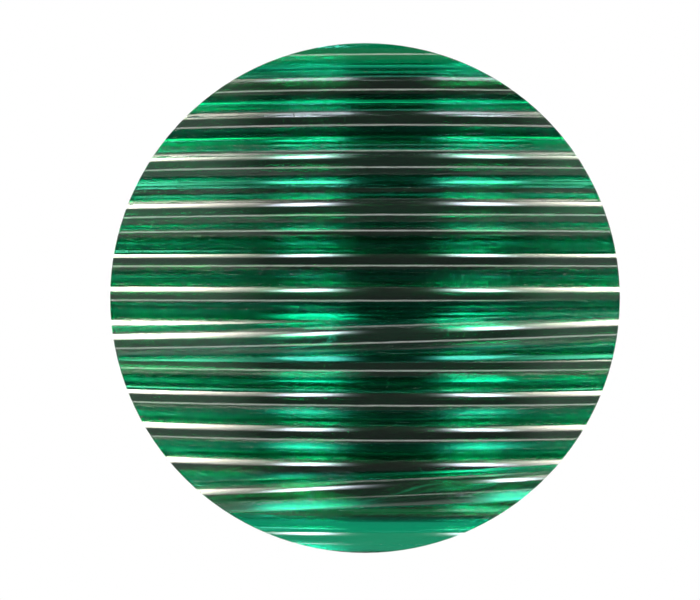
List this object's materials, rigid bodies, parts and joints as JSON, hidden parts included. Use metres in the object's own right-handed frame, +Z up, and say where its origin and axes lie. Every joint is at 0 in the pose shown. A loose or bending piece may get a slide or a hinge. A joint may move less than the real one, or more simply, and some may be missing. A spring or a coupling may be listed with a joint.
{
  "type": "filament spool",
  "caption": "Take-apart spool of 2.85 mm translucent green filament: windowed clear flanges, keyed hub barrel, card core and a lock ring whose turn lifts the upper flange.",
  "frame": {"origin": "middle of the plane that the lower flange's rim rests on", "axes": "+Z up along the spool's axis, through the bore; -Y is the side where the loose turns end, and the loose end is pushed into the lower rim at -X"},
  "size_m": [0.2, 0.2, 0.055],
  "materials": {
    "flange_plastic": "clear moulded polystyrene, glossy, lightly scuffed",
    "barrel_plastic": "moulded, satin",
    "lock_ring_plastic": "moulded, satin grey",
    "screw_steel": "zinc plated",
    "cardboard": "spirally wound grey-brown cardboard, matt",
    "green_filament": "translucent deep green, glossy",
    "label_paper": "matt printed paper"
  },
  "bodies": {
    "spool": {"lower_flange": "flange_plastic", "hub_barrel": "barrel_plastic", "hub_screws": "screw_steel", "refill_core": "cardboard", "filament_start": "green_filament", "filament_inner_layers": "green_filament", "filament_outer_layers": "green_filament", "filament_last_turns": "green_filament", "filament_tail": "green_filament", "lower_label": "label_paper"},
    "upper_flange": {"upper_flange": "flange_plastic", "upper_label": "label_paper"},
    "lock_ring": {"lock_ring": "lock_ring_plastic"}
  },
  "joints": [
    {"name": "upper_flange_lift", "type": "slide", "parent": "spool", "child": "upper_flange", "axis": [0, 0, 1], "range_m": [0, 0.0101]},
    {"name": "lock_ring_turn", "type": "hinge", "parent": "upper_flange", "child": "lock_ring", "pos_m": [0, 0, 0.05], "axis": [0, 0, 1], "range_deg": [0, 75]}
  ],
  "couplings": [
    {"joint": "upper_flange_lift", "follows": "lock_ring_turn", "m_per_rad": 0.0076394}
  ]
}
